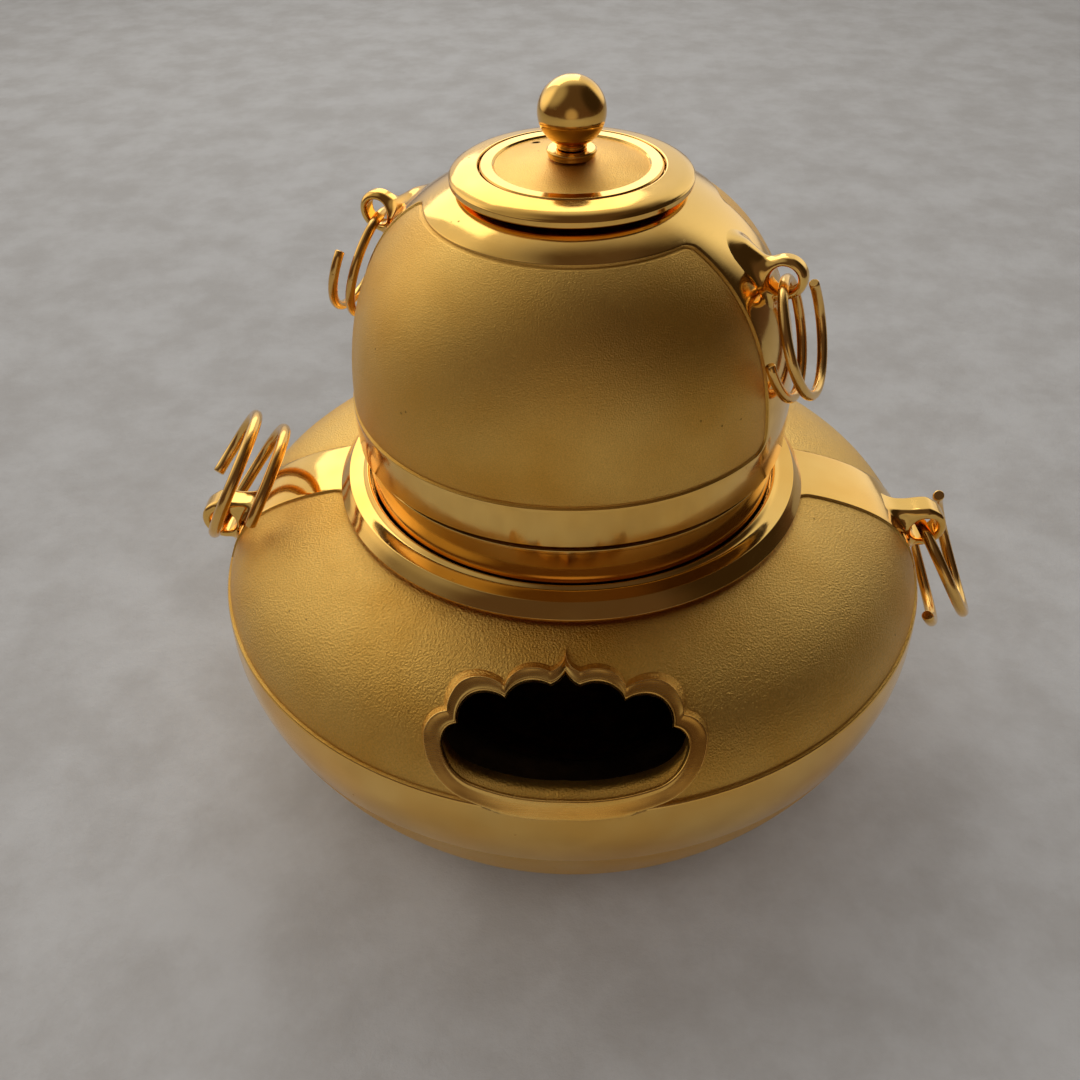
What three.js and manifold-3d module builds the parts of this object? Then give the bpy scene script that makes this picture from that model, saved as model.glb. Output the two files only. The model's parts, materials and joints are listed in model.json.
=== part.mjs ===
// Tabletop brazier-and-kettle incense burner, in millimetres, +Z up.
// The origin is the centre of the brazier's flat underside, and the smoke window faces -Y. Heights
// in the dimensions below are measured from the table, and the whole object is lowered at the end.
import * as THREE from 'three';
import { mergeVertices } from 'three/addons/utils/BufferGeometryUtils.js';
import Module from 'manifold-3d';

const wasm = await Module();
wasm.setup();

// ---------- Driving dimensions ----------
const SEAM_HEIGHT = 40;
const SEAM_RADIUS = 58;
const BRAZIER_WALL = 3.2;
const BRAZIER_UNDERSIDE = 3.6;
const KETTLE_WALL = 2.0;
const KETTLE_TURN = -20.7;
const LID_TURN = 146.5;

const MOUTH_BORE = 32.5;
const MOUTH_LEDGE_RADIUS = 29.8;
const MOUTH_LEDGE_HEIGHT = 52;
const SKIRT_RADIUS = 31.9;
const KETTLE_FLOOR_HEIGHT = 42.2;
const BAND_EDGE_HEIGHT = 65.7;
const KETTLE_OPENING_RADIUS = 14.2;
const LID_RADIUS = 12.6;
const LID_TOP = 106.25;
const LID_UNDERSIDE = 105.2;
const KNOB_STUD_RADIUS = 1.5;
const KNOB_STUD_HOLE_RADIUS = 1.85;
const KNOB_NUT_ACROSS_CORNERS = 6.2;

const FOOT_CIRCLE = 27;
const FOOT_SCREW_RADIUS = 1.2;
const FOOT_SCREW_HOLE_RADIUS = 1.55;
const FOOT_ANGLES = { front_left: 210, front_right: 330, back: 90 };

// A lug is an eye on a short strap, and the eye's hole runs along the tangent of the body. A stud
// at the strap's root goes through the wall and takes a nut inside.
const LUG_STUD_RADIUS = 1.1;
const LUG_STUD_HOLE_RADIUS = 1.45;
const LUG_STUD_REACH = 2.6;
const LUG_SKIN_GAP = 0.25;
const LUG_NUT = { from: 0.45, to: 2.0, acrossCorners: 4.4, hole: 1.4 };
const BRAZIER_LUG = {
  eyeRadius: 59.2, eyeHeight: 44.6, outer: 3.7, bore: 2.6, width: 4.2,
  root: 50, rootTop: 48.6, rootBottom: 41.4, wall: BRAZIER_WALL, studHeight: 45.4,
};
const KETTLE_LUG = {
  eyeRadius: 30.9, eyeHeight: 94.8, outer: 3.1, bore: 1.95, width: 3.0,
  root: 22, rootTop: 99.4, rootBottom: 91.0, wall: KETTLE_WALL, studHeight: 95.4,
};

// A ring is an open coil of wire. Angles are degrees: lean is the swing outwards from straight
// down, roll turns the coil in its own plane, yaw turns it about the vertical. The turns before
// and after the point inside the eye are given in half turns.
const BRAZIER_WIRE = 1.9;
const KETTLE_WIRE = 1.45;
const RINGS = [
  {
    name: 'brazier_ring_left', lug: BRAZIER_LUG, azimuth: 180, wire: BRAZIER_WIRE, drop: 0.3,
    coil: 10.2, pitch: 5.0, before: 1.79, after: 1.46, lean: 211, roll: 6.5, yaw: 2.3,
  },
  {
    name: 'brazier_ring_right', lug: BRAZIER_LUG, azimuth: 0, wire: BRAZIER_WIRE, drop: 0.4,
    coil: 10.2, pitch: 5.4, before: 1.46, after: 1.72, lean: 24, roll: 9, yaw: 1.3,
  },
  {
    name: 'kettle_ring_left', lug: KETTLE_LUG, azimuth: 180 + KETTLE_TURN, wire: KETTLE_WIRE,
    drop: 0.7, coil: 8.1, pitch: 2.9, before: 1.48, after: 1.64, lean: 18.6, roll: 7, yaw: 4.6,
  },
  {
    name: 'kettle_ring_right', lug: KETTLE_LUG, azimuth: KETTLE_TURN, wire: KETTLE_WIRE,
    drop: 0.7, coil: 8.1, pitch: 2.9, before: 1.48, after: 1.74, lean: 18.6, roll: -6.5, yaw: 4.6,
  },
];

// Facet counts around each piece.
const BRAZIER_SIDES = 56;
const KETTLE_SIDES = 48;
const SMALL_SIDES = 16;
const WIRE_SIDES = 6;
const COIL_STEPS_PER_TURN = 18;

// ---------- Materials ----------
const gilt = () => new THREE.MeshStandardMaterial({ color: '#d9a441', roughness: 0.18, metalness: 1 });
const mattGilt = () => new THREE.MeshStandardMaterial({ color: '#b98b3c', roughness: 0.5, metalness: 1 });
const copper = () => new THREE.MeshStandardMaterial({ color: '#8a4f2c', roughness: 0.45, metalness: 1 });
const brass = () => new THREE.MeshStandardMaterial({ color: '#a8843f', roughness: 0.35, metalness: 1 });

// ---------- Geometry helpers ----------
const radians = THREE.MathUtils.degToRad;

function solidOf(geometry) {
  const bare = geometry.index ? geometry.clone() : geometry;
  bare.deleteAttribute('normal');
  bare.deleteAttribute('uv');
  const merged = mergeVertices(bare, 1e-4);
  return new wasm.Manifold(new wasm.Mesh({
    numProp: 3,
    vertProperties: new Float32Array(merged.attributes.position.array),
    triVerts: new Uint32Array(merged.index.array),
  }));
}

function geometryOf(solid) {
  const mesh = solid.getMesh();
  const geometry = new THREE.BufferGeometry();
  geometry.setAttribute('position', new THREE.BufferAttribute(new Float32Array(mesh.vertProperties), 3));
  geometry.setIndex(new THREE.BufferAttribute(new Uint32Array(mesh.triVerts), 1));
  geometry.computeVertexNormals();
  return geometry;
}

// Turns a list of [radius, height] points about the Z axis. The list runs up the outside.
function turned(points, sides) {
  const profile = points.map(([radius, height]) => new THREE.Vector2(radius, height));
  return new THREE.LatheGeometry(profile, sides).rotateX(Math.PI / 2);
}

// A closed profile that stays clear of the axis ends where it began.
function turnedRing(points, sides) {
  return turned([...points, points[0]], sides);
}

// A straight rod between two points.
function rod(from, to, radius, sides) {
  const length = from.distanceTo(to);
  const direction = to.clone().sub(from).normalize();
  const up = new THREE.Vector3(0, 1, 0);
  const turn = new THREE.Quaternion().setFromUnitVectors(up, direction);
  const middle = from.clone().add(to).multiplyScalar(0.5);
  return new THREE.CylinderGeometry(radius, radius, length, sides)
    .applyQuaternion(turn)
    .translate(middle.x, middle.y, middle.z);
}

function spline(points, divisions) {
  const curve = new THREE.SplineCurve(points.map(([x, y]) => new THREE.Vector2(x, y)));
  return curve.getSpacedPoints(divisions);
}

// Moves a profile sideways by a distance: positive is to the left of its direction of travel.
function offsetProfile(points, distance) {
  return points.map((point, i) => {
    const before = points[Math.max(i - 1, 0)];
    const after = points[Math.min(i + 1, points.length - 1)];
    const along = after.clone().sub(before).normalize();
    return new THREE.Vector2(point.x - along.y * distance, point.y + along.x * distance);
  });
}

const asPairs = (points) => points.map((point) => [point.x, point.y]);

// Points on the circle through three points, from the first up to but not including the last.
function arcThrough([ax, ay], [bx, by], [cx, cy], steps) {
  const d = 2 * (ax * (by - cy) + bx * (cy - ay) + cx * (ay - by));
  const a2 = ax * ax + ay * ay;
  const b2 = bx * bx + by * by;
  const c2 = cx * cx + cy * cy;
  const ux = (a2 * (by - cy) + b2 * (cy - ay) + c2 * (ay - by)) / d;
  const uy = (a2 * (cx - bx) + b2 * (ax - cx) + c2 * (bx - ax)) / d;
  const radius = Math.hypot(ax - ux, ay - uy);
  const start = Math.atan2(ay - uy, ax - ux);
  const turnTo = (x, y) => {
    let sweep = Math.atan2(y - uy, x - ux) - start;
    if (d > 0 && sweep < 0) sweep += 2 * Math.PI;
    if (d < 0 && sweep > 0) sweep -= 2 * Math.PI;
    return sweep;
  };
  const sweep = turnTo(cx, cy);
  return Array.from({ length: steps }, (_, i) => {
    const angle = start + (sweep * i) / steps;
    return [ux + radius * Math.cos(angle), uy + radius * Math.sin(angle)];
  });
}

// ---------- Brazier ----------
// The shoulder runs from the mouth out to the seam, and the belly from the seam down to the base.
const shoulder = spline([
  [34.9, 55.3], [38.5, 54.8], [42.8, 53.7], [48.4, 51.5], [53.4, 48.2], [56.8, 43.4],
  [SEAM_RADIUS, SEAM_HEIGHT],
], 9);
const belly = spline([
  [SEAM_RADIUS + 0.15, SEAM_HEIGHT - 0.3], [58.7, 35.4], [56.9, 27.5], [53, 19], [47.5, 10.9],
  [41, 5.4], [33, BRAZIER_UNDERSIDE],
], 8);

function brazierShell() {
  const outer = [...shoulder, ...belly].reverse();
  const inner = offsetProfile([...shoulder, ...belly], -BRAZIER_WALL);
  const inside = inner.filter((point) => point.y > BRAZIER_UNDERSIDE + 2.9 && point.x > 33);
  const floor = BRAZIER_UNDERSIDE + 2.6;
  const profile = [
    [0, BRAZIER_UNDERSIDE], ...asPairs(outer), ...asPairs(inside), [33, floor], [0, floor],
  ];
  return turned(profile, BRAZIER_SIDES);
}

// The solid inside the outer skin of the brazier or the kettle, grown by a gap.
function trimBody(skin, gap, sides) {
  const grown = asPairs(offsetProfile(skin, gap));
  const bottom = grown[grown.length - 1][1];
  const top = grown[0][1];
  return solidOf(turned([[0, bottom], ...grown.reverse(), [0, top]], sides));
}

// Distance along the shoulder, measured up from the seam.
const climb = [...shoulder].reverse();
const climbLength = climb.map((point, i) => (
  climb.slice(1, i + 1).reduce((sum, next, k) => sum + next.distanceTo(climb[k]), 0)
));

// The point on the brazier at a sideways distance and a distance up from the seam, lifted off.
function onShoulder(across, up, lift) {
  let i = 1;
  while (i < climb.length - 1 && climbLength[i] < up) i += 1;
  const share = (up - climbLength[i - 1]) / (climbLength[i] - climbLength[i - 1]);
  const place = climb[i - 1].clone().lerp(climb[i], share);
  const along = climb[i].clone().sub(climb[i - 1]).normalize();
  const angle = across / place.x;
  const radius = place.x + along.y * lift;
  const height = place.y - along.x * lift;
  return new THREE.Vector3(radius * Math.sin(angle), -radius * Math.cos(angle), height);
}

// Half of each outline, as arcs from the bottom middle, up the side lobes, to the top point.
const WINDOW_ARCS = [
  [[0, 2.0], [7, 2.15], [12.6, 3.0]],
  [[12.6, 3.0], [15.8, 5.0], [16.95, 7.6]],
  [[16.95, 7.6], [16.3, 9.7], [14.75, 10.7]],
  [[14.75, 10.7], [13.3, 14.6], [8.1, 15.3]],
  [[8.1, 15.3], [5.2, 18.0], [2.0, 17.7]],
  [[2.0, 17.7], [0.9, 18.4], [0, 19.7]],
];
const BORDER_ARCS = [
  [[0, -0.4], [7, -0.25], [13.2, 0.9]],
  [[13.2, 0.9], [17.7, 3.9], [19.1, 7.6]],
  [[19.1, 7.6], [18.4, 10.7], [16.3, 12.2]],
  [[16.3, 12.2], [13.9, 17.6], [8.1, 17.3]],
  [[8.1, 17.3], [5.6, 20.2], [2.1, 20.1]],
  [[2.1, 20.1], [0.75, 20.9], [0, 23.1]],
];
const ARC_STEPS = [3, 3, 3, 5, 4, 3];

function outline(arcs) {
  const right = arcs.flatMap(([a, b, c], i) => arcThrough(a, b, c, ARC_STEPS[i]));
  const tip = arcs[arcs.length - 1][2];
  const left = right.slice(1).reverse().map(([x, y]) => [-x, y]);
  return [...right, tip, ...left];
}

// Joins rings of points that share one count into a closed tube of quads.
function loopTube(rings) {
  const count = rings[0].length;
  const positions = rings.flat().flatMap((point) => [point.x, point.y, point.z]);
  const index = [];
  rings.forEach((_, r) => {
    const next = (r + 1) % rings.length;
    for (let i = 0; i < count; i += 1) {
      const j = (i + 1) % count;
      const [a, b, c, d] = [r * count + i, r * count + j, next * count + j, next * count + i];
      index.push(a, b, c, a, c, d);
    }
  });
  const geometry = new THREE.BufferGeometry();
  geometry.setAttribute('position', new THREE.Float32BufferAttribute(positions, 3));
  geometry.setIndex(index);
  return geometry;
}

// The window's cut runs level at the sill and slopes down inwards at the lobes.
function windowCutter() {
  const points = outline(WINDOW_ARCS);
  const shape = points.map(([x, y]) => new THREE.Vector2(x, y));
  const outward = 7;
  const inward = 13;
  const steepest = radians(36);
  const rise = (up) => THREE.MathUtils.clamp((up - 2) / 16, 0, 1) * steepest;
  const shifted = (distance) => points.map(([x, y]) => {
    const place = onShoulder(x, y, 0);
    const slope = rise(y);
    return place.add(new THREE.Vector3(0, distance * Math.cos(slope), -distance * Math.sin(slope)));
  });
  const rings = [shifted(-outward), shifted(inward)];
  const count = points.length;
  const index = [];
  for (let i = 0; i < count; i += 1) {
    const j = (i + 1) % count;
    index.push(i, i + count, j, j, i + count, j + count);
  }
  THREE.ShapeUtils.triangulateShape(shape, []).forEach(([a, b, c]) => {
    index.push(a, b, c, a + count, c + count, b + count);
  });
  const geometry = new THREE.BufferGeometry();
  const positions = rings.flat().flatMap((point) => [point.x, point.y, point.z]);
  geometry.setAttribute('position', new THREE.Float32BufferAttribute(positions, 3));
  geometry.setIndex(index);
  return solidOf(geometry);
}

function windowBorder() {
  const under = 0.15;
  const crown = 0.95;
  const inner = outline(WINDOW_ARCS);
  const outer = outline(BORDER_ARCS);
  const lifted = (points, lift) => points.map(([x, y]) => onShoulder(x, y, lift));
  return loopTube([lifted(inner, under), lifted(outer, under), lifted(outer, crown), lifted(inner, crown)]);
}

function mouthRing() {
  return turnedRing([
    [MOUTH_LEDGE_RADIUS, 51], [34.3, 51], [34.3, 55.6], [37.2, 55.4], [37.3, 55.8], [36.4, 57.0],
    [34.8, 57.9], [33.4, 58.3], [MOUTH_BORE + 0.1, 58.1], [MOUTH_BORE, 57.5],
    [MOUTH_BORE, MOUTH_LEDGE_HEIGHT], [MOUTH_LEDGE_RADIUS, MOUTH_LEDGE_HEIGHT],
  ], KETTLE_SIDES);
}

function ashBowl() {
  const floor = BRAZIER_UNDERSIDE + 2.9;
  const thickness = 1.5;
  return turned([
    [0, floor], [17, floor], [23.5, 9.2], [27.4, 15.5], [28.6, 24], [28.6, 38],
    [28.6 - thickness, 38], [28.6 - thickness, 24.3], [26.1, 16.3], [22.7, 10.8], [16.6, 8.2],
    [0, floor + thickness],
  ], 40);
}

function foot() {
  return turned([[0, 0], [4.2, 0], [5, 0.9], [4.3, 3.4], [1.5, 3.4], [1.5, 1], [0, 1]], SMALL_SIDES);
}

function footScrew() {
  return turned([
    [0, 1.4], [FOOT_SCREW_RADIUS, 1.4], [FOOT_SCREW_RADIUS, 6.4], [2.3, 6.4], [2.3, 7.3],
    [1.7, 7.8], [0, 7.8],
  ], 12);
}

// ---------- Kettle ----------
const dome = spline([
  [KETTLE_OPENING_RADIUS, 104.0], [20.3, 101.5], [26.0, 96.8], [30.0, 90.7], [32.4, 84],
  [33.5, 76], [33.5, 70], [33.35, BAND_EDGE_HEIGHT],
], 10);

function kettleShell() {
  const inside = offsetProfile(dome, -KETTLE_WALL);
  inside[0].set(KETTLE_OPENING_RADIUS, inside[0].y);
  inside[inside.length - 1].y = BAND_EDGE_HEIGHT;
  return turnedRing([...asPairs(dome).reverse(), ...asPairs(inside)], KETTLE_SIDES);
}

// The pan closes the kettle: a spigot inside the dome, a bare skirt, a seat and a dished floor.
function kettlePan() {
  const seat = MOUTH_LEDGE_HEIGHT + 0.3;
  const wall = 1.6;
  return turned([
    [0, KETTLE_FLOOR_HEIGHT], [14, 42.7], [22, 44.9], [27.3, 48.9], [29.2, seat],
    [SKIRT_RADIUS, seat], [SKIRT_RADIUS, BAND_EDGE_HEIGHT - 0.3], [31.0, BAND_EDGE_HEIGHT - 0.3],
    [31.0, 69.5], [31.0 - wall, 69.5], [31.0 - wall, seat + wall], [28.1, 52.8], [26.2, 50.2],
    [21.3, 46.5], [13.7, 44.4], [0, KETTLE_FLOOR_HEIGHT + wall],
  ], KETTLE_SIDES);
}

function kettleMouth() {
  return turnedRing([
    [11.6, 102.6], [13.85, 102.6], [13.85, 104.3], [14.6, 104.2], [16.5, 103.5], [16.95, 103.8],
    [16.9, 104.9], [16.5, 105.3], [15.4, 105.8], [12.85, LID_TOP], [12.85, LID_UNDERSIDE - 0.3], [11.6, LID_UNDERSIDE - 0.3],
  ], 40);
}

// ---------- Lid ----------
const LID_CENTRE_TOP = LID_TOP - 0.3;
const LID_CENTRE_RADIUS = 10.6;
const LID_CROWN = 1.15;
const STEAM_HOLE = { radius: 0.6, offset: 8.7 };

// The lid's centre rises to the knob as a shallow dome.
function crownHeight(radius) {
  return LID_CENTRE_TOP + LID_CROWN * (1 - (radius / LID_CENTRE_RADIUS) ** 2);
}

function lidPlate() {
  const plate = solidOf(turnedRing([
    [KNOB_STUD_HOLE_RADIUS, LID_UNDERSIDE], [LID_RADIUS, LID_UNDERSIDE], [LID_RADIUS, LID_TOP - 0.2],
    [LID_RADIUS - 0.2, LID_TOP], [10.9, LID_TOP], [LID_CENTRE_RADIUS, LID_CENTRE_TOP],
    ...[8.4, 5.8, KNOB_STUD_HOLE_RADIUS].map((radius) => [radius, crownHeight(radius)]),
  ], 32));
  const hole = rod(
    new THREE.Vector3(STEAM_HOLE.offset, 0, LID_UNDERSIDE - 2),
    new THREE.Vector3(STEAM_HOLE.offset, 0, LID_TOP + 2),
    STEAM_HOLE.radius,
    8,
  );
  return geometryOf(plate.subtract(solidOf(hole)));
}

function lidLocatingRing() {
  const top = LID_UNDERSIDE - 0.1;
  return turnedRing([[10.4, top - 2.2], [11.2, top - 2.2], [11.2, top], [10.4, top]], 32);
}

function knobCollar() {
  const base = crownHeight(0) + 0.1;
  return turnedRing([
    [KNOB_STUD_HOLE_RADIUS, base], [3.25, base], [3.25, base + 0.5], [3.4, base + 0.6],
    [3.4, base + 0.9], [3.2, base + 1.05], [KNOB_STUD_HOLE_RADIUS, base + 1.05],
  ], SMALL_SIDES);
}

const BALL = { radius: 4.65, centre: 113.1 };
const KNOB_STUD_FOOT = 101.4;

function knobBall() {
  const neck = LID_CENTRE_TOP + 2.4;
  const neckRadius = 2.1;
  const start = Math.asin(neckRadius / BALL.radius);
  const steps = 9;
  const profile = [
    [0, KNOB_STUD_FOOT], [KNOB_STUD_RADIUS, KNOB_STUD_FOOT], [KNOB_STUD_RADIUS, neck], [neckRadius, neck],
  ];
  for (let i = 0; i < steps; i += 1) {
    const angle = start + ((Math.PI - start) * i) / steps;
    profile.push([BALL.radius * Math.sin(angle), BALL.centre - BALL.radius * Math.cos(angle)]);
  }
  profile.push([0, BALL.centre + BALL.radius]);
  return turned(profile, 20);
}

function knobWasher() {
  const top = LID_UNDERSIDE - 0.1;
  return turnedRing([
    [KNOB_STUD_HOLE_RADIUS, top - 0.5], [3.4, top - 0.5], [3.4, top], [KNOB_STUD_HOLE_RADIUS, top],
  ], SMALL_SIDES);
}

// A hexagonal nut between two points on its axis.
function nut(from, to, acrossCorners, hole) {
  const beyond = to.clone().sub(from);
  const blank = solidOf(rod(from, to, acrossCorners / 2, 6));
  const bore = solidOf(rod(from.clone().sub(beyond), to.clone().add(beyond), hole, 12));
  return geometryOf(blank.subtract(bore));
}

// ---------- Lugs and rings ----------
// The place and direction of a lug's stud, square to the skin. X is outwards here.
function studLine(skin, lug) {
  const rising = skin[0].y < skin[skin.length - 1].y ? skin : [...skin].reverse();
  const i = rising.findIndex((point) => point.y > lug.studHeight);
  const share = (lug.studHeight - rising[i - 1].y) / (rising[i].y - rising[i - 1].y);
  const foot2d = rising[i - 1].clone().lerp(rising[i], share);
  const along = rising[i].clone().sub(rising[i - 1]).normalize();
  const place = new THREE.Vector3(foot2d.x, 0, foot2d.y);
  const inward = new THREE.Vector3(-along.y, 0, along.x);
  return (depth) => place.clone().addScaledVector(inward, depth);
}

function lugSolid(lug, skin, sides) {
  const eyeTop = lug.eyeHeight + lug.outer;
  const underside = -0.7 * Math.PI;
  const shape = new THREE.Shape();
  shape.moveTo(lug.root, lug.rootTop);
  shape.lineTo(lug.eyeRadius - lug.outer, eyeTop + (lug.rootTop - eyeTop) * 0.25);
  shape.lineTo(lug.eyeRadius, eyeTop);
  shape.absarc(lug.eyeRadius, lug.eyeHeight, lug.outer, Math.PI / 2, underside, true);
  shape.lineTo(lug.root, lug.rootBottom);
  shape.closePath();
  const hole = new THREE.Path();
  hole.absarc(lug.eyeRadius, lug.eyeHeight, lug.bore, 0, 2 * Math.PI, false);
  shape.holes.push(hole);
  const flat = new THREE.ExtrudeGeometry(shape, { depth: lug.width, bevelEnabled: false, curveSegments: 8 });
  flat.translate(0, 0, -lug.width / 2).rotateX(Math.PI / 2);
  const line = studLine(skin, lug);
  const trimmed = solidOf(flat).subtract(trimBody(skin, LUG_SKIN_GAP, sides));
  const stud = solidOf(rod(line(-0.9), line(lug.wall + LUG_STUD_REACH), LUG_STUD_RADIUS, 10));
  return trimmed.add(stud);
}

function studHole(lug, skin, azimuth) {
  const line = studLine(skin, lug);
  const bore = rod(line(-3), line(lug.wall + 3), LUG_STUD_HOLE_RADIUS, 12);
  return solidOf(bore.rotateZ(radians(azimuth)));
}

class Coil extends THREE.Curve {
  constructor(radius, pitch, start, end) {
    super();
    Object.assign(this, { radius, pitch, start, end });
  }

  // At angle 0 the wire passes through the origin, inside the eye, and the coil hangs below it.
  getPoint(share, target = new THREE.Vector3()) {
    const angle = this.start + (this.end - this.start) * share;
    return target.set(
      (this.pitch * angle) / (2 * Math.PI),
      -this.radius * Math.sin(angle),
      -this.radius * (1 - Math.cos(angle)),
    );
  }
}

function coilRing(ring) {
  const section = new THREE.Shape();
  section.absarc(0, 0, ring.wire / 2, 0, 2 * Math.PI, false);
  const path = new Coil(ring.coil, ring.pitch, -ring.before * Math.PI, ring.after * Math.PI);
  const turns = (ring.before + ring.after) / 2;
  return new THREE.ExtrudeGeometry(section, {
    steps: Math.round(turns * COIL_STEPS_PER_TURN),
    curveSegments: WIRE_SIDES / 2,
    extrudePath: path,
  });
}

// ---------- Assembly ----------
const assembly = new THREE.Group();

function piece(name, geometry, material, parent = assembly) {
  const mesh = new THREE.Mesh(geometry, material);
  mesh.name = name;
  parent.add(mesh);
  return mesh;
}

const brazierSkin = [...shoulder, ...belly];
const LUG_AZIMUTHS = { left: 180, right: 0 };

function pierce(geometry, cutters) {
  return geometryOf(cutters.reduce((solid, cutter) => solid.subtract(cutter), solidOf(geometry)));
}

function addLugs(prefix, lug, skin, sides, parent) {
  Object.entries(LUG_AZIMUTHS).forEach(([side, azimuth]) => {
    const holder = new THREE.Group();
    holder.rotation.z = radians(azimuth);
    parent.add(holder);
    piece(`${prefix}_lug_${side}`, geometryOf(lugSolid(lug, skin, sides)), gilt(), holder);
    const line = studLine(skin, lug);
    const from = line(lug.wall + LUG_NUT.from);
    const to = line(lug.wall + LUG_NUT.to);
    const nutGeometry = nut(from, to, LUG_NUT.acrossCorners, LUG_NUT.hole);
    piece(`${prefix}_lug_nut_${side}`, nutGeometry, brass(), holder);
  });
}

const footPlaces = Object.entries(FOOT_ANGLES).map(([place, angle]) => ({
  place,
  x: FOOT_CIRCLE * Math.cos(radians(angle)),
  y: FOOT_CIRCLE * Math.sin(radians(angle)),
}));

const footHoles = footPlaces.map(({ x, y }) => solidOf(rod(
  new THREE.Vector3(x, y, BRAZIER_UNDERSIDE - 2),
  new THREE.Vector3(x, y, BRAZIER_UNDERSIDE + 6),
  FOOT_SCREW_HOLE_RADIUS,
  12,
)));

piece('brazier_shell', pierce(brazierShell(), [
  windowCutter(),
  ...Object.values(LUG_AZIMUTHS).map((azimuth) => studHole(BRAZIER_LUG, brazierSkin, azimuth)),
  ...footHoles,
]), mattGilt());
piece('window_border', windowBorder(), gilt());
piece('brazier_mouth_ring', mouthRing(), gilt());
piece('ash_bowl', ashBowl(), copper());
addLugs('brazier', BRAZIER_LUG, brazierSkin, BRAZIER_SIDES, assembly);
footPlaces.forEach(({ place, x, y }) => {
  piece(`foot_${place}`, foot(), gilt()).position.set(x, y, 0);
  piece(`foot_screw_${place}`, footScrew(), brass()).position.set(x, y, 0);
});

const kettle = new THREE.Group();
kettle.rotation.z = radians(KETTLE_TURN);
assembly.add(kettle);
piece('kettle_shell', pierce(
  kettleShell(),
  Object.values(LUG_AZIMUTHS).map((azimuth) => studHole(KETTLE_LUG, dome, azimuth)),
), mattGilt(), kettle);
piece('kettle_pan', kettlePan(), gilt(), kettle);
piece('kettle_mouth', kettleMouth(), gilt(), kettle);
addLugs('kettle', KETTLE_LUG, dome, KETTLE_SIDES, kettle);

const lid = new THREE.Group();
lid.rotation.z = radians(LID_TURN + KETTLE_TURN);
assembly.add(lid);
piece('lid_plate', lidPlate(), gilt(), lid);
piece('lid_locating_ring', lidLocatingRing(), brass(), lid);
piece('knob_collar', knobCollar(), gilt(), lid);
piece('knob_ball', knobBall(), gilt(), lid);
piece('knob_washer', knobWasher(), brass(), lid);
piece('knob_nut', nut(
  new THREE.Vector3(0, 0, LID_UNDERSIDE - 2.5),
  new THREE.Vector3(0, 0, LID_UNDERSIDE - 0.8),
  KNOB_NUT_ACROSS_CORNERS,
  KNOB_STUD_HOLE_RADIUS,
), brass(), lid);

RINGS.forEach((ring) => {
  const holder = new THREE.Group();
  holder.rotation.z = radians(ring.azimuth);
  assembly.add(holder);
  const mesh = piece(ring.name, coilRing(ring), gilt(), holder);
  mesh.position.set(ring.lug.eyeRadius, 0, ring.lug.eyeHeight - ring.drop);
  mesh.rotation.set(radians(ring.roll), -radians(ring.lean), radians(ring.yaw), 'YZX');
});

assembly.position.z = -BRAZIER_UNDERSIDE;

export default assembly;
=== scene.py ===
"""Looks of the brazier-and-kettle incense burner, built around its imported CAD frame."""

import json
import math

import bpy
import numpy as np
from mathutils import Matrix, Vector

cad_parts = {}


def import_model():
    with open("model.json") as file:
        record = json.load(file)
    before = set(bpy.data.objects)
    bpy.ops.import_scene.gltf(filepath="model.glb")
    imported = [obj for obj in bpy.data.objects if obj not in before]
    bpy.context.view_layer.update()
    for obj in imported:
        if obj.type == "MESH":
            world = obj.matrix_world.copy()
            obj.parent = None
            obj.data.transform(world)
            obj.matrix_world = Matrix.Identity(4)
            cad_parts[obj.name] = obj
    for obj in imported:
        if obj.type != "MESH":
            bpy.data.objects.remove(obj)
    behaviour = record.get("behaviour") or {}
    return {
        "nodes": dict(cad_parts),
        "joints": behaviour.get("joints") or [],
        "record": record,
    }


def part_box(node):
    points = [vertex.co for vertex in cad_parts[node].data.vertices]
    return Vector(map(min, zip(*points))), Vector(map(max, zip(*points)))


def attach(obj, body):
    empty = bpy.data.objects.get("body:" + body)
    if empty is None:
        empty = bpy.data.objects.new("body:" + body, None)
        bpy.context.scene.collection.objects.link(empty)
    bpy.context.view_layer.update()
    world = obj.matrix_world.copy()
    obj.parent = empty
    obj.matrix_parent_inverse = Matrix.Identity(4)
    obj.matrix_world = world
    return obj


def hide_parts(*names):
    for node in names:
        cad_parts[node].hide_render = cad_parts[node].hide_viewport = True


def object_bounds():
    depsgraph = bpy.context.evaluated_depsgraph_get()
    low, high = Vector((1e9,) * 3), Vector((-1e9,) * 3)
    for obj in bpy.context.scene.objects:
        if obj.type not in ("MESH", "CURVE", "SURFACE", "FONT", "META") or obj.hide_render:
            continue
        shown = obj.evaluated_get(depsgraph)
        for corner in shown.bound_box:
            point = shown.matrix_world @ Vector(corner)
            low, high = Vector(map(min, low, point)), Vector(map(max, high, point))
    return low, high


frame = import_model()
cad_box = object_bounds()

# Shapes below are worked out in millimetres of the row frame, +Z up.
MM = 0.001
TABLE = cad_box[0].z / MM
RECORD = frame["record"]
JOINTS = {joint["name"]: joint for joint in frame["joints"]}
BODY_OF = {node: body for body, nodes in RECORD["behaviour"]["bodies"].items() for node in nodes}


# ---------- Reading the frame ----------
def cad_points(node):
    """A CAD node's distinct vertices, and the place of each mesh vertex among them."""
    keys = {}
    index = []
    for vertex in frame["nodes"][node].data.vertices:
        key = tuple(round(c / MM, 2) for c in vertex.co)
        index.append(keys.setdefault(key, len(keys)))
    return np.array(list(keys)), index


def middle(node):
    low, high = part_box(node)
    centre = (low + high) / 2 / MM
    return np.array([centre.x, centre.y])


# The angle, in degrees about the axis, near which a turned node's outline is read.
CUT_NEAR = 45.0


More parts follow.
